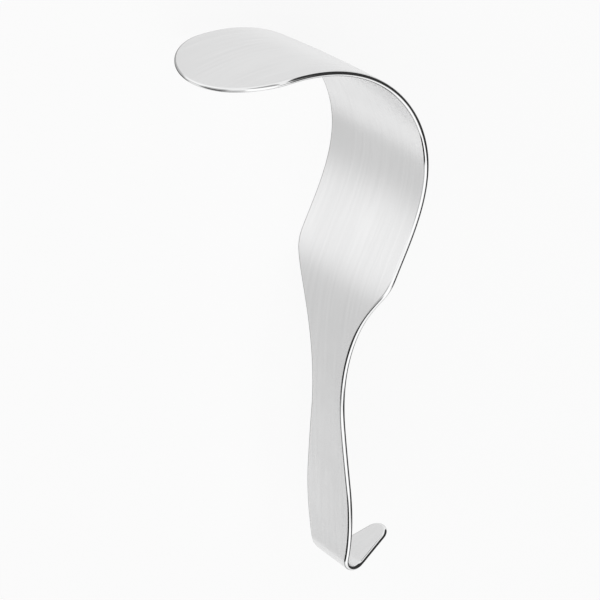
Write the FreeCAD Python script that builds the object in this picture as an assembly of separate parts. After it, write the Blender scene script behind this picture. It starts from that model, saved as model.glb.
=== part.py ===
import FreeCAD
import Part
import math
import os

# A handheld retractor bent from one piece of flat steel sheet.
# It lies on the side edge of its blade: X and Y follow the bent profile, Z follows the width.
# Every length is in millimetres and every angle in degrees.
# A station is a distance along the middle of the flat blank, from the end of the blade.

# The sheet
SHEET_THICKNESS = 2.1

# The outline of the flat blank
BLADE_WIDTH = 66.2
BLADE_LENGTH = 162.9
BLADE_END_LENGTH = 24.7
SHOULDER_RADIUS = 17.3
FLANK_LENGTH = 9.2
NECK_WIDTH = 22.3
NECK_RADIUS = 83.0
WAIST_LENGTH = 27.9
GRIP_WIDTH = 32.3
GRIP_RADIUS = 96.5
GRIP_TO_BEND = 21.7
HOOK_END_RADIUS = 5.8

# The bends, from the end of the blade to the hook
BLADE_END_BEND_RADIUS = 189.0
BLADE_BEND_RADIUS = 53.5
CROWN_BEND_RADIUS = 43.5
SWEEP_BEND_RADIUS = 56.8
NECK_BOW_RADIUS = 345.0
GRIP_BOW_RADIUS = 833.0
HEEL_BOW_RADIUS = 455.0
HOOK_BEND_RADIUS = 7.2
HOOK_BEND_ANGLE = 115.7

BLADE_BEND_LENGTH = 62.4
CROWN_BEND_LENGTH = 51.8
BACK_LENGTH = 42.6
SWEEP_ENTRY_LENGTH = 18.0
SWEEP_EXIT_LENGTH = 21.0
HOOK_BEND_RAMP = 2.0
HOOK_LENGTH = 19.0

# The blade is slightly dished, so its middle stands out of its side edges in the bend
BLADE_DISH = 0.6

# Fineness of the curves that are worked out point by point
LONG_STEP = 4.0
BEND_STEP = 0.6
STEPS_BETWEEN_POINTS = 8
RIM_STEP = 6.0
FEWEST_SECTIONS = 4

# How far apart two edges may be and still be one
JOINING_GAP = 0.002

HALF_THICKNESS = SHEET_THICKNESS / 2
HALF_BLADE = BLADE_WIDTH / 2
SHOULDER_CENTRE = HALF_BLADE - SHOULDER_RADIUS
NECK_CENTRE = NECK_WIDTH / 2 + NECK_RADIUS
GRIP_CENTRE = GRIP_WIDTH / 2 - GRIP_RADIUS


def centres_apart(radii, straight, rise):
    """Distance along the sheet between two round stretches that a straight run joins."""
    return math.sqrt(radii ** 2 + straight ** 2 - rise ** 2)


NECK_STATION = BLADE_LENGTH + centres_apart(
    SHOULDER_RADIUS + NECK_RADIUS, FLANK_LENGTH, NECK_CENTRE - SHOULDER_CENTRE)
GRIP_STATION = NECK_STATION + centres_apart(
    NECK_RADIUS + GRIP_RADIUS, WAIST_LENGTH, NECK_CENTRE - GRIP_CENTRE)
BEND_STATION = GRIP_STATION + GRIP_TO_BEND
HOOK_BEND_LENGTH = HOOK_BEND_RADIUS * math.radians(HOOK_BEND_ANGLE)
BLANK_LENGTH = BEND_STATION + HOOK_BEND_LENGTH + HOOK_BEND_RAMP + HOOK_LENGTH
PATCH_HALF_WIDTH = HALF_BLADE + SHEET_THICKNESS


def bend_law():
    """Length of each run and the curvature at its end; plus turns towards the back."""
    curved = [
        (0.0, -1 / BLADE_END_BEND_RADIUS),
        (BLADE_BEND_LENGTH, -1 / BLADE_BEND_RADIUS),
        (CROWN_BEND_LENGTH, -1 / CROWN_BEND_RADIUS),
        (BACK_LENGTH, 0.0),
        (SWEEP_ENTRY_LENGTH, 1 / SWEEP_BEND_RADIUS),
        (SWEEP_EXIT_LENGTH, 1 / NECK_BOW_RADIUS),
    ]
    handle = BEND_STATION - sum(length for length, _ in curved)
    held = HOOK_BEND_LENGTH - HOOK_BEND_RAMP
    return curved + [
        (handle / 2, 1 / GRIP_BOW_RADIUS),
        (handle / 2, -1 / HEEL_BOW_RADIUS),
        (HOOK_BEND_RAMP, 1 / HOOK_BEND_RADIUS),
        (held, 1 / HOOK_BEND_RADIUS),
        (HOOK_BEND_RAMP, 0.0),
        (HOOK_LENGTH, 0.0),
    ]


def follow_profile():
    """Points of the bent profile as (station, x, y, heading), found by following its bends."""
    station, x, y, heading = 0.0, 0.0, 0.0, 0.0
    points = [(station, x, y, heading)]
    law = bend_law()
    for (_, start), (length, end) in zip(law, law[1:]):
        count = math.ceil(length / (BEND_STEP if station > GRIP_STATION else LONG_STEP))
        small = length / (count * STEPS_BETWEEN_POINTS)
        change = (end - start) / (count * STEPS_BETWEEN_POINTS)
        curvature = start
        for _ in range(count):
            for _ in range(STEPS_BETWEEN_POINTS):
                middle = heading + (curvature + change / 4) * small / 2
                x += math.cos(middle) * small
                y += math.sin(middle) * small
                heading += (curvature + change / 2) * small
                curvature += change
            station += length / count
            points.append((station, x, y, heading))
    return points


def neck_upright(points):
    """The same points turned so that the handle runs along Y at the neck."""
    above, below = next(pair for pair in zip(points, points[1:]) if pair[1][0] > NECK_STATION)
    share = (NECK_STATION - above[0]) / (below[0] - above[0])
    turn = -math.pi / 2 - (above[3] + share * (below[3] - above[3]))
    c, s = math.cos(turn), math.sin(turn)
    return [(at, c * x - s * y, s * x + c * y, head + turn) for at, x, y, head in points]


def dish_depth(station):
    """How far the middle stands out of the side edges: none at the end and at the shoulder."""
    if station >= BLADE_LENGTH:
        return 0.0
    return BLADE_DISH * math.sin(math.pi * station / BLADE_LENGTH) ** 2


def profile_curve(points, height, inward):
    """Smooth curve through the profile at one height, moved by inward(station)."""
    places = []
    for station, x, y, heading in points:
        move = inward(station)
        places.append(FreeCAD.Vector(x + math.sin(heading) * move, y - math.cos(heading) * move, height))
    curve = Part.BSplineCurve()
    curve.interpolate(Points=places, Parameters=[p[0] for p in points])
    return curve


def middle_surface(points):
    """The middle of the sheet: along it u is the station, and v is the height."""
    at_side = (PATCH_HALF_WIDTH / HALF_BLADE) ** 2 - 1
    side = [
        profile_curve(points, height, lambda s: at_side * dish_depth(s))
        for height in (-PATCH_HALF_WIDTH, PATCH_HALF_WIDTH)
    ]
    ridge = profile_curve(points, 0.0, lambda s: -(2 + at_side) * dish_depth(s))
    rows = [side[0].getPoles(), ridge.getPoles(), side[1].getPoles()]
    surface = Part.BSplineSurface()
    surface.buildFromPolesMultsKnots(
        [list(column) for column in zip(*rows)],
        ridge.getMultiplicities(), [3, 3],
        ridge.getKnots(), [-PATCH_HALF_WIDTH, PATCH_HALF_WIDTH],
        False, False, ridge.Degree, 2,
    )
    return surface


def touch_points(first, second):
    """Where the common tangent touches two circles (x, y, radius); a hollow has a minus radius."""
    dx, dy = second[0] - first[0], second[1] - first[1]
    distance = math.hypot(dx, dy)
    along = (first[2] - second[2]) / distance
    across = math.sqrt(1 - along * along)
    nx = (along * dx - across * dy) / distance
    ny = (along * dy + across * dx) / distance
    return [(x + r * nx, y + r * ny) for x, y, r in (first, second)]


def line_between(start, end, side):
    """Straight piece of the outline, on the side of the middle given by the sign."""
    return Part.Geom2d.Line2dSegment(*[FreeCAD.Base.Vector2d(x, side * y) for x, y in (start, end)])


def arc_between(circle, start, end, side):
    """Round piece of the outline, through the circle's point midway between its two ends."""
    cx, cy, radius = circle
    mx, my = (start[0] + end[0]) / 2 - cx, (start[1] + end[1]) / 2 - cy
    reach = abs(radius) / math.hypot(mx, my)
    middle = (cx + mx * reach, cy + my * reach)
    points = [FreeCAD.Base.Vector2d(x, side * y) for x, y in (start, middle, end)]
    return Part.Geom2d.ArcOfCircle2d(*points)


def blade_end(inset, side):
    """Quarter of the ellipse at the end of the blade."""
    centre = FreeCAD.Base.Vector2d(BLADE_END_LENGTH, 0.0)
    wide, deep = HALF_BLADE - inset, BLADE_END_LENGTH - inset
    ellipse = Part.Geom2d.Ellipse2d(centre, wide, deep)
    first = 0.0 if side > 0 else math.pi / 2
    return Part.Geom2d.ArcOfEllipse2d(ellipse, first, first + math.pi / 2)


def side_pieces(inset, side):
    """One side of the outline, from the end of the blade to the end of the hook."""
    half = HALF_BLADE - inset
    shoulder = (BLADE_LENGTH, SHOULDER_CENTRE, SHOULDER_RADIUS - inset)
    neck = (NECK_STATION, NECK_CENTRE, -NECK_RADIUS - inset)
    grip = (GRIP_STATION, GRIP_CENTRE, GRIP_RADIUS - inset)
    end = (BLANK_LENGTH - HOOK_END_RADIUS, 0.0, HOOK_END_RADIUS - inset)
    straight = [(BLADE_END_LENGTH, half), (BLADE_LENGTH, half)]
    flank = touch_points(shoulder, neck)
    waist = touch_points(neck, grip)
    taper = touch_points(grip, end)
    last = (BLANK_LENGTH - inset, 0.0)
    return [
        blade_end(inset, side),
        line_between(*straight, side),
        arc_between(shoulder, straight[1], flank[0], side),
        line_between(*flank, side),
        arc_between(neck, flank[1], waist[0], side),
        line_between(*waist, side),
        arc_between(grip, waist[1], taper[0], side),
        line_between(*taper, side),
        arc_between(end, taper[1], last, side),
    ]


def sheet_face(surface, outline):
    """The part of a surface that the outline encloses."""
    return Part.Face(Part.Wire([piece.toShape(surface) for piece in outline]))


def rim_section(surface, seat, edge, share):
    """Poles of the half circle round the rim at one place, from the sheet's front to its back."""
    flat, rim = [
        piece.value(piece.FirstParameter + share * (piece.LastParameter - piece.FirstParameter))
        for piece in (seat, edge)
    ]
    centre = surface.value(flat.x, flat.y)
    normal = surface.normal(flat.x, flat.y)
    outward = surface.value(rim.x, rim.y) - centre
    outward = (outward - normal * outward.dot(normal)).normalize()
    directions = [normal, normal + outward, outward, outward - normal, -normal]
    return [centre + direction * HALF_THICKNESS for direction in directions]


def rim_face(surface, seat, edge):
    """Round rim along one piece of the outline, made of two exact quarter circles at each place."""
    last_station = max(seat.value(p).x for p in (seat.FirstParameter, seat.LastParameter))
    step = BEND_STEP if last_station > BEND_STATION else RIM_STEP
    count = max(FEWEST_SECTIONS, math.ceil(seat.length() / step))
    shares = [k / count for k in range(count + 1)]
    sections = [rim_section(surface, seat, edge, share) for share in shares]
    curves = [Part.BSplineCurve() for _ in sections[0]]
    for curve, row in zip(curves, zip(*sections)):
        curve.interpolate(Points=list(row), Parameters=shares)
    corner = math.cos(math.pi / 4)
    weights = [1.0, corner, 1.0, corner, 1.0]
    patch = Part.BSplineSurface()
    patch.buildFromPolesMultsKnots(
        [list(column) for column in zip(*[curve.getPoles() for curve in curves])],
        curves[0].getMultiplicities(), [3, 2, 3],
        curves[0].getKnots(), [0.0, 0.5, 1.0],
        False, False, curves[0].Degree, 2,
        [weights for _ in range(curves[0].NbPoles)],
    )
    return patch.toShape()


def bent_sheet():
    """The whole retractor as one solid, still where its bends leave it."""
    surface = middle_surface(neck_upright(follow_profile()))
    seats = [side_pieces(HALF_THICKNESS, side) for side in (1, -1)]
    edges = [side_pieces(0.0, side) for side in (1, -1)]
    outline = seats[1] + seats[0][:0:-1] + seats[0][:1]
    sides = [Part.OffsetSurface(surface, out) for out in (HALF_THICKNESS, -HALF_THICKNESS)]
    faces = [sheet_face(side, outline) for side in sides]
    for seat_side, edge_side in zip(seats, edges):
        faces += [rim_face(surface, seat, edge) for seat, edge in zip(seat_side, edge_side)]
    for face in faces:
        face.fixTolerance(JOINING_GAP)
    return Part.Solid(Part.makeShell(faces))


def set_down(solid):
    """The solid with the floor at height zero, and its origin under the middle of its box."""
    box = solid.optimalBoundingBox()
    solid.translate(FreeCAD.Vector(-box.Center.x, -box.Center.y, -box.ZMin))
    return solid


def main():
    """Build the retractor and write it out."""
    os.makedirs("parts", exist_ok=True)
    set_down(bent_sheet()).exportStep("parts/retractor.step")


if __name__ == "__main__":
    main()
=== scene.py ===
"""Looks of a handheld surgical retractor, bent from one piece of satin steel sheet.

The sheet is made flat, with its round rim, and is then bent along the same profile as the
solid it stands for. It lies on the side edge of its blade, and the camera looks down on it.
"""
import logging
import math
from dataclasses import dataclass, field
from enum import Enum
from typing import Any, NamedTuple, Union

import bmesh
import bpy
from mathutils import Matrix, Vector


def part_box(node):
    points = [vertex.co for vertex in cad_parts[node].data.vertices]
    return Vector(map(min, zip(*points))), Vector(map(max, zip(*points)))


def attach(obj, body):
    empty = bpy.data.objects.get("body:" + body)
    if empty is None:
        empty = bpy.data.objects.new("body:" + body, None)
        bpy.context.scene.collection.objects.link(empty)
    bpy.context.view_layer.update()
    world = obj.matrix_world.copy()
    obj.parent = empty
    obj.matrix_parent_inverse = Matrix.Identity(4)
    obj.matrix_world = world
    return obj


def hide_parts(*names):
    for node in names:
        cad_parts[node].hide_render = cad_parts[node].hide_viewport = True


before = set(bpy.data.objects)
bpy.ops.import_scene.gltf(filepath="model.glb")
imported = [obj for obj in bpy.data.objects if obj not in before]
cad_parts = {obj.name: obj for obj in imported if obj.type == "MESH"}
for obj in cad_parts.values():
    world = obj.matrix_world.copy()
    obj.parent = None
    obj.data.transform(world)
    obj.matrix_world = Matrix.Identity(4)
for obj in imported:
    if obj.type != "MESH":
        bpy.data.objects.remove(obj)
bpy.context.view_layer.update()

BLANK_MAP = "blank"
OUTWARD = "outward"
MILLIMETRE = 0.001
GRID_HALF = 0.5
NOISE_MIDDLE = 0.5
ALL_ROUND = 180.0
STRAIGHT_DOWN = -90.0
LOG = logging.getLogger("retractor")

Colour = tuple[float, float, float, float]
Number = Union[float, "Value"]
Given = Union[float, tuple[float, ...], "Value"]
WHITE: Colour = (1.0, 1.0, 1.0, 1.0)


class Side(Enum):
    """The two long sides of the blank, by the sign of the height above its middle."""

    UPPER = 1
    LOWER = -1


class Finish(Enum):
    """The two finishes of the sheet, by the place of their material on the mesh."""

    SATIN = 0
    POLISHED = 1


class Coordinates(Enum):
    """The outputs of a Texture Coordinate node that are used."""

    GENERATED = 0
    OBJECT = 3


@dataclass(frozen=True)
class Value:
    """A shader socket that can be used in an expression."""

    nodes: "Nodes"
    socket: bpy.types.NodeSocket

    def _math(self, operation: str, first: Number, second: Number) -> "Value":
        """Adds one Math node and returns its result."""
        return self.nodes.add("ShaderNodeMath", {"operation": operation}, {0: first, 1: second})[0]

    def __add__(self, other: Number) -> "Value":
        """Sum."""
        return self._math("ADD", self, other)

    __radd__ = __add__

    def __mul__(self, other: Number) -> "Value":
        """Product."""
        return self._math("MULTIPLY", self, other)

    __rmul__ = __mul__

    def __sub__(self, other: Number) -> "Value":
        """Difference."""
        return self._math("SUBTRACT", self, other)

    def __rsub__(self, other: Number) -> "Value":
        """Difference from a number."""
        return self._math("SUBTRACT", other, self)

    def __pow__(self, other: Number) -> "Value":
        """Power."""
        return self._math("POWER", self, other)


class Nodes:
    """The node tree of one material or of the world."""

    def __init__(self, tree: bpy.types.NodeTree) -> None:
        """Empties the tree.

        Args:
            tree: the node tree to fill.
        """
        self.tree = tree
        tree.nodes.clear()

    def add(
        self, kind: str, settings: dict[str, Any], inputs: dict[Union[int, str], Given]
    ) -> list[Value]:
        """Adds one node.

        Args:
            kind: the node's type.
            settings: its own settings, which are set first.
            inputs: for each socket, by name or place, a number, a colour, a vector or a Value.

        Returns:
            The node's outputs in order.
        """
        node = self.tree.nodes.new(kind)
        for name, setting in settings.items():
            setattr(node, name, setting)
        for name, given in inputs.items():
            socket = node.inputs[name]
            if isinstance(given, Value):
                self.tree.links.new(given.socket, socket)
            else:
                socket.default_value = given
        return [Value(self, output) for output in node.outputs]

    def rise(self, given: Value, low: float, high: float) -> Value:
        """A smooth step from 0 to 1.

        Args:
            given: the number that rises.
            low: where the step starts.
            high: where it ends.

        Returns:
            The height of the step at the given number.
        """
        return self.add(
            "ShaderNodeMapRange",
            {"interpolation_type": "SMOOTHSTEP"},
            {"Value": given, "From Min": low, "From Max": high},
        )[0]

    def mix(self, factor: Value, first: Colour, second: Colour) -> Value:
        """Blends two colours. A Mix node keeps its colours on sockets 6 and 7, and on output 2.

        Args:
            factor: the share of the second colour, from 0 to 1.
            first: the colour at 0.
            second: the colour at 1.

        Returns:
            The blended colour.
        """
        return self.add("ShaderNodeMix", {"data_type": "RGBA"}, {0: factor, 6: first, 7: second})[2]

    def noise(self, place: Value, scale: float, detail: float, falloff: float = 0.5) -> Value:
        """Soft noise round NOISE_MIDDLE.

        Args:
            place: the coordinates that it reads.
            scale: how fine it is.
            detail: how many finer layers lie over it.
            falloff: how strong each finer layer is beside the one before.

        Returns:
            The noise, from 0 to 1.
        """
        return self.add(
            "ShaderNodeTexNoise", {},
            {"Vector": place, "Scale": scale, "Detail": detail, "Roughness": falloff},
        )[0]


def new_material(name: str) -> tuple[bpy.types.Material, Nodes]:
    """Starts a material.

    Args:
        name: the material's name.

    Returns:
        The material and its empty node tree.
    """
    made = bpy.data.materials.new(name)
    made.use_nodes = True
    return made, Nodes(made.node_tree)


def into_scene(name: str, bm: bmesh.types.BMesh) -> bpy.types.Object:
    """Makes an object of a finished mesh.

    Args:
        name: the name of the object and of its mesh.
        bm: the mesh, which is freed.

    Returns:
        The object, in the scene at the origin.
    """
    mesh = bpy.data.meshes.new(name)
    bm.to_mesh(mesh)
    bm.free()
    made = bpy.data.objects.new(name, mesh)
    bpy.context.scene.collection.objects.link(made)
    return made


@dataclass(frozen=True)
class SatinFinish:
    """The two broad faces of the sheet: fine brushing along its length, over a faint roll grain."""

    name: str = "satin_steel"
    pale: Colour = (0.872, 0.872, 0.874, 1.0)
    dull: Colour = (0.838, 0.838, 0.84, 1.0)
    dull_from: float = 0.38
    dull_to: float = 0.62
    roughness: float = 0.24
    roughness_change: float = 0.06
    streak_length: float = 7.0
    streaks_across: float = 600.0
    streak_falloff: float = 0.6
    fine_detail: float = 3.0
    broad_detail: float = 2.0
    broader: float = 12.0
    longer: float = 4.0
    cloud_scale: float = 2.2
    cloud_detail: float = 2.0
    cloud_share: float = 0.5
    brush_depth: float = 0.05
    brush_height: float = 0.0004

    def streaks(self, nodes: Nodes, across: float, along: float, detail: float) -> Value:
        """Long thin streaks that run along the sheet.

        Args:
            nodes: the material's nodes.
            across: how many there are in 100 mm of the sheet's width.
            along: how many times they change in 100 mm of its length.
            detail: how many finer layers lie over them.

        Returns:
            Their strength from 0 to 1.
        """
        blank = nodes.add("ShaderNodeUVMap", {"uv_map": BLANK_MAP}, {})[0]
        stretched = nodes.add(
            "ShaderNodeMapping", {"vector_type": "POINT"},
            {"Vector": blank, "Scale": (along, across, 1.0)},
        )[0]
        return nodes.noise(stretched, 1.0, detail, self.streak_falloff)

    def material(self) -> bpy.types.Material:
        """Builds the material.

        Returns:
            The finished material.
        """
        made, nodes = new_material(self.name)
        fine = self.streaks(nodes, self.streaks_across, self.streak_length, self.fine_detail)
        across, along = self.streaks_across / self.broader, self.streak_length / self.longer
        broad = self.streaks(nodes, across, along, self.broad_detail)
        blank = nodes.add("ShaderNodeUVMap", {"uv_map": BLANK_MAP}, {})[0]
        cloud = nodes.noise(blank, self.cloud_scale, self.cloud_detail)
        both = broad * (1 - self.cloud_share) + cloud * self.cloud_share
        worn = nodes.rise(both, self.dull_from, self.dull_to)
        uneven = (fine - NOISE_MIDDLE) * self.roughness_change
        uneven = uneven + (cloud - NOISE_MIDDLE) * self.roughness_change
        normal = nodes.add(
            "ShaderNodeBump", {},
            {"Strength": self.brush_depth, "Distance": self.brush_height, "Height": fine},
        )[0]
        shader = nodes.add("ShaderNodeBsdfPrincipled", {}, {
            "Base Color": nodes.mix(worn, self.pale, self.dull),
            "Metallic": 1.0,
            "Roughness": uneven + self.roughness,
            "Normal": normal,
        })[0]
        nodes.add("ShaderNodeOutputMaterial", {}, {"Surface": shader})
        return made


@dataclass(frozen=True)
class RimFinish:
    """The sheet's round rim, buffed brighter than its faces."""

    name: str = "polished_rim"
    colour: Colour = (0.92, 0.922, 0.925, 1.0)
    at_grazing: Colour = (0.6, 0.6, 0.6, 1.0)
    roughness: float = 0.07
    roughness_change: float = 0.04
    buffing_scale: float = 900.0
    buffing_detail: float = 2.0

    def material(self) -> bpy.types.Material:
        """Builds the material.

        Returns:
            The finished material.
        """
        made, nodes = new_material(self.name)
        place = nodes.add("ShaderNodeTexCoord", {}, {})[Coordinates.OBJECT.value]
        buffing = nodes.noise(place, self.buffing_scale, self.buffing_detail)
        shader = nodes.add("ShaderNodeBsdfPrincipled", {}, {
            "Base Color": self.colour,
            "Metallic": 1.0,
            "Roughness": (buffing - NOISE_MIDDLE) * self.roughness_change + self.roughness,
            "Specular Tint": self.at_grazing,
        })[0]
        nodes.add("ShaderNodeOutputMaterial", {}, {"Surface": shader})
        return made


@dataclass(frozen=True)
class RimPlace:
    """A place on the blank's outline: where the flat face ends, and which way the rim faces."""

    station: float
    height: float
    angle: float

    @property
    def outward(self) -> tuple[float, float]:
        """Direction of the rim in the blank, as (along, up)."""
        return math.cos(self.angle), math.sin(self.angle)


@dataclass(frozen=True)
class Round:
    """A round stretch of the outline. A hollow one has minus radii."""

    station: float
    height: float
    along: float
    across: float

    def at(self, angle: float, inset: float) -> RimPlace:
        """The place where the outline faces at an angle.

        Args:
            angle: the angle in radians, from along the sheet.
            inset: how far inside the outline the place is.

        Returns:
            The place.
        """
        return RimPlace(
            self.station + (self.along - inset) * math.cos(angle),
            self.height + (self.across - inset) * math.sin(angle),
            angle,
        )

    def facing(self, following: "Round") -> float:
        """Angle at which the common tangent leaves this circle for the following one.

        Args:
            following: the next round stretch.

        Returns:
            The angle in radians.
        """
        step, rise = following.station - self.station, following.height - self.height
        distance = math.hypot(step, rise)
        along = (self.along - following.along) / distance
        across = math.sqrt(1 - along * along)
        return math.atan2(along * rise + across * step, along * step - across * rise)


@dataclass(frozen=True)
class Blank:
    """Outline of the flat sheet. Lengths are in millimetres, from the end of the blade."""

    thickness: float = 2.1
    blade_width: float = 66.2
    blade_length: float = 162.9
    blade_end: float = 24.7
    shoulder_radius: float = 17.3
    flank: float = 9.2
    neck_width: float = 22.3
    neck_radius: float = 83.0
    waist: float = 27.9
    grip_width: float = 32.3
    grip_radius: float = 96.5
    grip_to_bend: float = 21.7
    hook_radius: float = 7.2
    hook_angle: float = 115.7
    hook_ramp: float = 2.0
    hook_length: float = 19.0
    hook_end_radius: float = 5.8
    long_step: float = 1.6
    bend_step: float = 0.5
    least_steps: int = 5

    @property
    def neck_station(self) -> float:
        """Where the neck is narrowest; a straight flank joins it to the shoulder.

        Returns:
            The distance from the end of the blade.
        """
        rise = (self.neck_width - self.blade_width) / 2 + self.neck_radius + self.shoulder_radius
        radii = self.shoulder_radius + self.neck_radius
        return self.blade_length + math.sqrt(radii ** 2 + self.flank ** 2 - rise ** 2)

    @property
    def grip_station(self) -> float:
        """Where the grip is widest; a straight waist joins it to the neck.

        Returns:
            The distance from the end of the blade.
        """
        rise = (self.neck_width - self.grip_width) / 2 + self.neck_radius + self.grip_radius
        radii = self.neck_radius + self.grip_radius
        return self.neck_station + math.sqrt(radii ** 2 + self.waist ** 2 - rise ** 2)

    @property
    def bend_station(self) -> float:
        """Where the bend of the hook starts."""
        return self.grip_station + self.grip_to_bend

    @property
    def hook_arc(self) -> float:
        """Length of the bend of the hook."""
        return self.hook_radius * math.radians(self.hook_angle)

    @property
    def length(self) -> float:
        """Length of the whole flat sheet."""
        return self.bend_station + self.hook_arc + self.hook_ramp + self.hook_length

    def rounds(self) -> list[Round]:
        """The round stretches of one side.

        Returns:
            The stretches from the end of the blade to the end of the hook.
        """
        half = self.blade_width / 2
        shoulder, neck, grip, end = (
            self.shoulder_radius, -self.neck_radius, self.grip_radius, self.hook_end_radius
        )
        return [
            Round(self.blade_end, 0.0, self.blade_end, half),
            Round(self.blade_length, half - shoulder, shoulder, shoulder),
            Round(self.neck_station, self.neck_width / 2 - neck, neck, neck),
            Round(self.grip_station, self.grip_width / 2 - grip, grip, grip),
            Round(self.length - end, 0.0, end, end),
        ]

    def steps(self, first: RimPlace, last: RimPlace) -> int:
        """Number of steps between two places on the outline.

        Args:
            first: the place where the stretch starts.
            last: the place where it ends.

        Returns:
            The number, which is larger in the bend of the hook.
        """
        distance = math.hypot(last.station - first.station, last.height - first.height)
        step = self.bend_step if last.station > self.bend_station else self.long_step
        return max(self.least_steps, math.ceil(distance / step))

    def straight(self, first: RimPlace, last: RimPlace) -> list[RimPlace]:
        """The places along a straight stretch, without its two ends.

        Args:
            first: the place where the stretch starts.
            last: the place where it ends.

        Returns:
            The places strictly between them.
        """
        count = self.steps(first, last)
        return [
            RimPlace(
                first.station + (last.station - first.station) * (k / count),
                first.height + (last.height - first.height) * (k / count),
                first.angle,
            )
            for k in range(1, count)
        ]

    def rim_places(self) -> list[RimPlace]:
        """The places along one side of the outline, in order.

        Returns:
            Places on the edge of the flat face, half a thickness inside the outline.
        """
        inset = self.thickness / 2
        rounds = self.rounds()
        turns = [math.pi, math.pi / 2]
        turns += [one.facing(following) for one, following in zip(rounds[1:], rounds[2:])] + [0.0]
        places: list[RimPlace] = []
        for stretch, start, end in zip(rounds, turns, turns[1:]):
            first, last = stretch.at(start, inset), stretch.at(end, inset)
            if places:
                places += self.straight(places[-1], first)
            count = self.steps(first, last)
            angles = [start + (end - start) * k / count for k in range(count + 1)]
            places += [stretch.at(angle, inset) for angle in angles]
        return places


class LinePoint(NamedTuple):
    """A point of the line that the sheet is bent along."""

    station: float
    x: float
    y: float
    heading: float


@dataclass
class Profile:
    """The line that the sheet is bent along. Lengths are in millimetres; plus turns to the back."""

    blank: Blank
    blade_end_radius: float = 189.0
    blade_radius: float = 53.5
    crown_radius: float = 43.5
    sweep_radius: float = 56.8
    neck_bow_radius: float = 345.0
    grip_bow_radius: float = 833.0
    heel_bow_radius: float = 455.0
    blade_run: float = 62.4
    crown_run: float = 51.8
    back_run: float = 42.6
    sweep_in_run: float = 18.0
    sweep_out_run: float = 21.0
    dish: float = 0.6
    fineness: float = 0.1
    knots: list[tuple[float, float]] = field(init=False)
    line: list[LinePoint] = field(init=False)

    def __post_init__(self) -> None:
        """Works out the curvature along the sheet, and the line itself."""
        stations = [0.0]
        runs = (
            self.blade_run, self.crown_run, self.back_run, self.sweep_in_run, self.sweep_out_run
        )
        for run in runs:
            stations.append(stations[-1] + run)
        bend, ramp, arc = self.blank.bend_station, self.blank.hook_ramp, self.blank.hook_arc
        stations += [(stations[-1] + bend) / 2, bend, bend + ramp, bend + arc, bend + arc + ramp]
        radii = [
            -self.blade_end_radius, -self.blade_radius, -self.crown_radius, math.inf,
            self.sweep_radius, self.neck_bow_radius, self.grip_bow_radius, -self.heel_bow_radius,
            self.blank.hook_radius, self.blank.hook_radius, math.inf,
        ]
        self.knots = [(station, 1 / radius) for station, radius in zip(stations, radii)]
        self.line = self.follow()

    def curvature(self, station: float) -> float:
        """Curvature of the profile; it changes evenly between the knots.

        Args:
            station: the distance from the end of the blade.

        Returns:
            The curvature there, per millimetre.
        """
        for (start, first), (end, last) in zip(self.knots, self.knots[1:]):
            if station <= end:
                return first + (last - first) * (station - start) / (end - start)
        return self.knots[-1][1]

    def follow(self) -> list[LinePoint]:
        """Follows the bends in small steps.

        Returns:
            The points of the line, turned so that the handle runs along Y at the neck.
        """
        count = math.ceil(self.blank.length / self.fineness)
        step = self.blank.length / count
        points = [LinePoint(0.0, 0.0, 0.0, 0.0)]
        for k in range(count):
            station, x, y, heading = points[-1]
            middle = heading + self.curvature(station + step / 4) * step / 2
            turned = heading + self.curvature(station + step / 2) * step
            x, y = x + math.cos(middle) * step, y + math.sin(middle) * step
            points.append(LinePoint((k + 1) * step, x, y, turned))
        turn = -math.pi / 2 - points[round(self.blank.neck_station / step)].heading
        c, s = math.cos(turn), math.sin(turn)
        return [
            LinePoint(at, c * x - s * y, s * x + c * y, heading + turn)
            for at, x, y, heading in points
        ]

    def dish_depth(self, station: float) -> float:
        """How far the middle of the blade stands out of its side edges.

        Args:
            station: the distance from the end of the blade.

        Returns:
            The depth in millimetres.
        """
        if station >= self.blank.blade_length:
            return 0.0
        return self.dish * math.sin(math.pi * station / self.blank.blade_length) ** 2

    def bent(self, station: float, height: float, out: float) -> Vector:
        """Where a point of the flat blank comes to lie.

        Args:
            station: its distance from the end of the blade.
            height: its distance above the middle of the sheet's width.
            out: its distance from the middle of the thickness, towards the outside of the bend.

        Returns:
            The point in millimetres.
        """
        inside = min(max(station, 0.0), self.blank.length)
        place = inside / self.blank.length * (len(self.line) - 1)
        index = min(int(place), len(self.line) - 2)
        share = place - index
        before, after = self.line[index], self.line[index + 1]
        heading = before.heading + (after.heading - before.heading) * share
        across = height / (self.blank.blade_width / 2)
        move = out + self.dish_depth(station) * (1 - across * across)
        return Vector((
            before.x + (after.x - before.x) * share - math.sin(heading) * move,
            before.y + (after.y - before.y) * share + math.cos(heading) * move,
            height,
        ))


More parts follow.
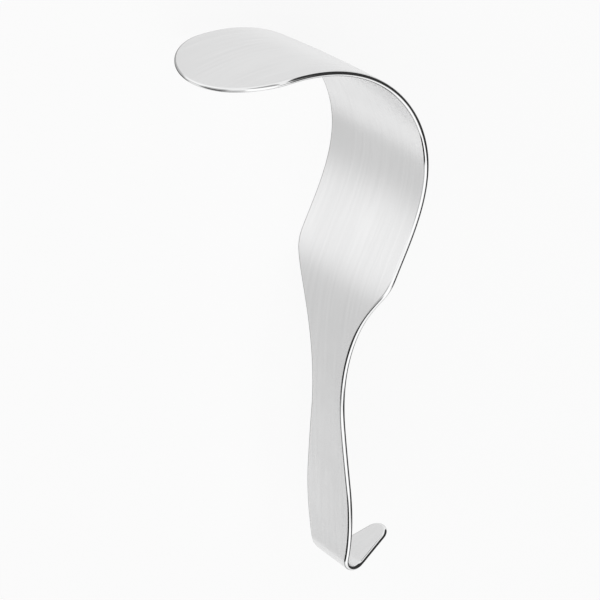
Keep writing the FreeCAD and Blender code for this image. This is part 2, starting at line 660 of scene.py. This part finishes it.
@dataclass
class BentSheet:
    """The whole retractor: a flat sheet with a full-round rim, bent along its profile.

    Lengths are in millimetres until the sheet is bent.
    """

    name: str = "retractor_sheet"
    columns: int = 26
    border: float = 0.35
    least_inner: float = 0.5
    rim_steps: int = 10
    merge_face: float = 1e-5
    merge_rim: float = 1e-4
    map_length: float = 100.0
    blank: Blank = field(default_factory=Blank)
    satin: SatinFinish = field(default_factory=SatinFinish)
    rim: RimFinish = field(default_factory=RimFinish)

    def height_at(self, place: RimPlace, column: int) -> float:
        """Height of one column of the face's grid; the outer two run beside the edge.

        Args:
            place: the place on the edge of the face.
            column: the column's number, from one edge to the other.

        Returns:
            The height above the middle of the sheet.
        """
        half = place.height
        if column == 0:
            return -half
        if column == self.columns:
            return half
        inner = max(half - self.border, half * self.least_inner)
        return inner * (2 * (column - 1) / (self.columns - 2) - 1)

    def flat_face(self, bm: bmesh.types.BMesh, places: list[RimPlace]) -> None:
        """Makes the front face of the blank as a grid that fills the outline.

        Args:
            bm: the mesh to make it in.
            places: the places along one side of the outline.
        """
        rows = len(places) - 1
        bmesh.ops.create_grid(bm, x_segments=rows, y_segments=self.columns, size=GRID_HALF)
        outward = bm.verts.layers.float_vector.new(OUTWARD)
        for vert in bm.verts:
            place = places[round((vert.co.x + GRID_HALF) * rows)]
            column = round((vert.co.y + GRID_HALF) * self.columns)
            along, up = place.outward
            side = Side.UPPER if column > self.columns / 2 else Side.LOWER
            vert[outward] = (along, up * side.value, 0.0)
            vert.co = (place.station, self.height_at(place, column), self.blank.thickness / 2)
        bmesh.ops.remove_doubles(bm, verts=bm.verts[:], dist=self.merge_face)

    def round_rim(self, bm: bmesh.types.BMesh) -> None:
        """Adds the back face, and rolls the front face's edge half a turn round to meet it.

        Args:
            bm: the mesh that holds the front face.
        """
        radius = self.blank.thickness / 2
        outward = bm.verts.layers.float_vector[OUTWARD]
        edges = [edge for edge in bm.edges if edge.is_boundary]
        copy = bmesh.ops.duplicate(bm, geom=bm.verts[:] + bm.edges[:] + bm.faces[:])
        back = [item for item in copy["geom"] if isinstance(item, bmesh.types.BMVert)]
        bmesh.ops.translate(bm, verts=back, vec=(0.0, 0.0, -2 * radius))
        for step in range(self.rim_steps):
            before, after = (math.pi * (step + k) / self.rim_steps for k in (0, 1))
            grown = bmesh.ops.extrude_edge_only(bm, edges=edges)["geom"]
            new_edges = (item for item in grown if isinstance(item, bmesh.types.BMEdge))
            edges = [edge for edge in new_edges if edge.is_boundary]
            for vert in (item for item in grown if isinstance(item, bmesh.types.BMVert)):
                vert.co += vert[outward] * radius * (math.sin(after) - math.sin(before))
                vert.co.z += radius * (math.cos(after) - math.cos(before))
            for face in (item for item in grown if isinstance(item, bmesh.types.BMFace)):
                face.material_index = Finish.POLISHED.value
        bmesh.ops.remove_doubles(bm, verts=bm.verts[:], dist=self.merge_rim)

    def map_blank(self, bm: bmesh.types.BMesh) -> None:
        """Keeps each point's place on the flat blank as the map that the brushing follows.

        Args:
            bm: the mesh of the flat sheet.
        """
        layer = bm.loops.layers.uv.new(BLANK_MAP)
        for face in bm.faces:
            face.smooth = True
            for loop in face.loops:
                along, up = loop.vert.co.x, loop.vert.co.y
                loop[layer].uv = (along / self.map_length, up / self.map_length)

    def bend(self, bm: bmesh.types.BMesh) -> None:
        """Bends the flat sheet along its profile, and brings it to metres.

        Args:
            bm: the mesh of the flat sheet.
        """
        profile = Profile(self.blank)
        for vert in bm.verts:
            vert.co = profile.bent(*vert.co) * MILLIMETRE
        bm.verts.layers.float_vector.remove(bm.verts.layers.float_vector[OUTWARD])
        bmesh.ops.recalc_face_normals(bm, faces=bm.faces[:])

    @staticmethod
    def put_in_place(bm: bmesh.types.BMesh) -> None:
        """Moves the mesh so that the middle of its box is the middle of the solid's box.

        Args:
            bm: the mesh of the bent sheet.
        """
        low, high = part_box("retractor")
        middle = (Vector(low) + Vector(high)) / 2
        lowest = Vector([min(vert.co[k] for vert in bm.verts) for k in range(3)])
        highest = Vector([max(vert.co[k] for vert in bm.verts) for k in range(3)])
        bmesh.ops.translate(bm, verts=bm.verts[:], vec=middle - (lowest + highest) / 2)

    def build(self) -> bpy.types.Object:
        """Makes the mesh and dresses it.

        Returns:
            The finished piece, at the place of the solid it stands for.
        """
        bm = bmesh.new()
        self.flat_face(bm, self.blank.rim_places())
        self.round_rim(bm)
        self.map_blank(bm)
        self.bend(bm)
        self.put_in_place(bm)
        piece = into_scene(self.name, bm)
        finishes = {Finish.SATIN: self.satin, Finish.POLISHED: self.rim}
        for finish in Finish:
            piece.data.materials.append(finishes[finish].material())
        return piece


@dataclass(frozen=True)
class Card:
    """A soft-edged dark card that stands in the light tent, or a lit panel if darkness is minus.

    Angles are in degrees, and azimuth is the direction of the card's middle from the object.
    """

    azimuth: float
    half_width: float
    bottom: float
    top: float
    soft: float
    darkness: float

    def edge(self, nodes: Nodes, up: Value, elevation: float) -> Value:
        """One level edge of the card.

        Args:
            nodes: the world's nodes.
            up: the direction's upward part.
            elevation: where the edge is.

        Returns:
            1 above the edge and 0 below it.
        """
        low, high = (math.sin(math.radians(elevation + move)) for move in (-self.soft, self.soft))
        return nodes.rise(up, low, high)

    def shade(self, nodes: Nodes, around: tuple[Value, Value], up: Value) -> Value:
        """How much of the tent's light the card takes away in a direction.

        Args:
            nodes: the world's nodes.
            around: the direction's level part, as a unit vector.
            up: the direction's upward part.

        Returns:
            The share taken away, from 0 to 1, or minus for a lit panel.
        """
        angle = math.radians(self.azimuth)
        facing = around[0] * math.cos(angle) + around[1] * math.sin(angle)
        inside: Number = 1.0
        if self.half_width < ALL_ROUND:
            inside = nodes.rise(
                facing,
                math.cos(math.radians(self.half_width + self.soft)),
                math.cos(math.radians(max(self.half_width - self.soft, 0.0))),
            )
        over: Number = 1.0
        if self.bottom > STRAIGHT_DOWN:
            over = self.edge(nodes, up, self.bottom)
        under = self.edge(nodes, up, self.top)
        return (over - under) * inside * self.darkness


@dataclass(frozen=True)
class Studio:
    """A pale floor inside a light tent with dark cards and lit panels.

    In order: three cards draw the black outer line of the rim, and two shade the end of the blade
    and the end of the hook. Four shade the inside of the blade bend and draw the inner black line
    of the rim. Two low ones outline the far rim, and one greys the near edge of the blade's end.
    The last three are lit panels, for the pale neck and blade and for the white line of the rim.
    """

    floor_size: float = 6.0
    floor_colour: Colour = (0.96, 0.96, 0.96, 1.0)
    floor_lift: float = 0.9
    tent: float = 0.92
    cards: tuple[Card, ...] = (
        Card(azimuth=-28.0, half_width=21.0, bottom=-24.0, top=62.0, soft=4.0, darkness=0.96),
        Card(azimuth=28.0, half_width=38.0, bottom=-12.0, top=60.0, soft=4.0, darkness=0.96),
        Card(azimuth=-62.0, half_width=26.0, bottom=54.0, top=67.0, soft=3.0, darkness=0.95),
        Card(azimuth=45.0, half_width=30.0, bottom=-75.0, top=-28.0, soft=12.0, darkness=0.08),
        Card(azimuth=97.0, half_width=12.0, bottom=-70.0, top=-28.0, soft=8.0, darkness=0.12),
        Card(azimuth=201.0, half_width=15.0, bottom=-80.0, top=-32.0, soft=13.0, darkness=0.22),
        Card(azimuth=219.0, half_width=12.0, bottom=-41.0, top=20.0, soft=3.0, darkness=0.98),
        Card(azimuth=186.0, half_width=18.0, bottom=-36.0, top=-4.0, soft=6.0, darkness=0.5),
        Card(azimuth=250.0, half_width=38.0, bottom=-38.0, top=-18.0, soft=4.0, darkness=0.78),
        Card(azimuth=0.0, half_width=180.0, bottom=-90.0, top=-64.0, soft=4.0, darkness=0.45),
        Card(azimuth=-98.0, half_width=34.0, bottom=-86.0, top=-57.0, soft=3.0, darkness=0.8),
        Card(azimuth=128.0, half_width=30.0, bottom=14.0, top=78.0, soft=5.0, darkness=0.6),
        Card(azimuth=155.0, half_width=14.0, bottom=-80.0, top=-20.0, soft=7.0, darkness=-0.14),
        Card(azimuth=243.0, half_width=13.0, bottom=-75.0, top=-48.0, soft=6.0, darkness=-0.1),
        Card(azimuth=225.0, half_width=60.0, bottom=18.0, top=76.0, soft=8.0, darkness=-0.22),
    )

    def build(self) -> None:
        """Makes the floor and the tent."""
        bm = bmesh.new()
        bmesh.ops.create_grid(bm, x_segments=1, y_segments=1, size=self.floor_size / 2)
        floor = into_scene("floor", bm)
        floor.data.materials.append(self.paper())
        self.light_tent()

    def light_tent(self) -> None:
        """Makes the world: white to the camera, and a tent with its cards to the metal."""
        world = bpy.data.worlds.new("light_tent")
        bpy.context.scene.world = world
        world.use_nodes = True
        nodes = Nodes(world.node_tree)
        place = nodes.add("ShaderNodeTexCoord", {}, {})[Coordinates.GENERATED.value]
        x, y, z = nodes.add("ShaderNodeSeparateXYZ", {}, {0: place})
        level = (1 - z * z) ** -0.5
        light: Number = 1.0
        for card in self.cards:
            light = light * (1 - card.shade(nodes, (x * level, y * level), z))
        shaded = light * self.tent
        tent = nodes.add("ShaderNodeBackground", {}, {"Color": WHITE, "Strength": shaded})[0]
        paper = nodes.add("ShaderNodeBackground", {}, {"Color": WHITE, "Strength": 1.0})[0]
        seen = nodes.add("ShaderNodeLightPath", {}, {})[0]
        both = nodes.add("ShaderNodeMixShader", {}, {0: seen, 1: tent, 2: paper})[0]
        nodes.add("ShaderNodeOutputWorld", {}, {"Surface": both})

    def paper(self) -> bpy.types.Material:
        """The floor's white, which the metal sees as the tent that it is part of.

        Returns:
            The finished material.
        """
        made, nodes = new_material("paper")
        matt = nodes.add("ShaderNodeBsdfDiffuse", {}, {"Color": self.floor_colour})[0]
        clear = nodes.add("ShaderNodeBsdfTransparent", {}, {})[0]
        white = nodes.add("ShaderNodeEmission", {}, {"Strength": 1.0})[0]
        camera, shadow, _, glossy = nodes.add("ShaderNodeLightPath", {}, {})[:4]
        lift = camera * self.floor_lift
        lifted = nodes.add("ShaderNodeMixShader", {}, {0: lift, 1: matt, 2: white})[0]
        both = nodes.add("ShaderNodeMixShader", {}, {0: glossy + shadow, 1: lifted, 2: clear})[0]
        nodes.add("ShaderNodeOutputMaterial", {}, {"Surface": both})
        return made


@dataclass(frozen=True)
class PhotoCamera:
    """The photograph's viewpoint. Angles are in degrees, and lengths in metres but for the lens."""

    azimuth: float = 141.80
    elevation: float = 49.54
    roll: float = 121.516
    distance: float = 1.01941
    aim: tuple[float, float, float] = (0.004085, 0.008519, 0.031345)
    lens: float = 150.0
    sensor: float = 36.0

    @property
    def back(self) -> Vector:
        """Direction from the object towards the camera.

        Returns:
            The direction as a unit vector.
        """
        around, up = math.radians(self.azimuth), math.radians(self.elevation)
        level = math.cos(up)
        return Vector((level * math.cos(around), level * math.sin(around), math.sin(up)))

    def build(self) -> None:
        """Makes the camera and gives it to the scene."""
        data = bpy.data.cameras.new("photo_camera")
        data.lens = self.lens
        data.sensor_width = self.sensor
        camera = bpy.data.objects.new("photo_camera", data)
        back = self.back
        right = Vector((0.0, 0.0, 1.0)).cross(back).normalized()
        upright = Matrix((right, back.cross(right), back)).transposed()
        turned = Matrix.Rotation(math.radians(self.roll), 3, back) @ upright
        place = Matrix.Translation(Vector(self.aim) + back * self.distance)
        camera.matrix_world = place @ turned.to_4x4()
        bpy.context.scene.collection.objects.link(camera)
        bpy.context.scene.camera = camera


def main() -> None:
    """Builds the retractor, the studio and the camera."""
    logging.basicConfig(level=logging.INFO, format="%(message)s")
    piece = BentSheet().build()
    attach(piece, "root")
    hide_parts("retractor")
    LOG.info("%s: %d faces", piece.name, len(piece.data.polygons))
    Studio().build()
    PhotoCamera().build()
    bpy.context.scene.view_settings.view_transform = "Standard"


if __name__ == "__main__":
    main()
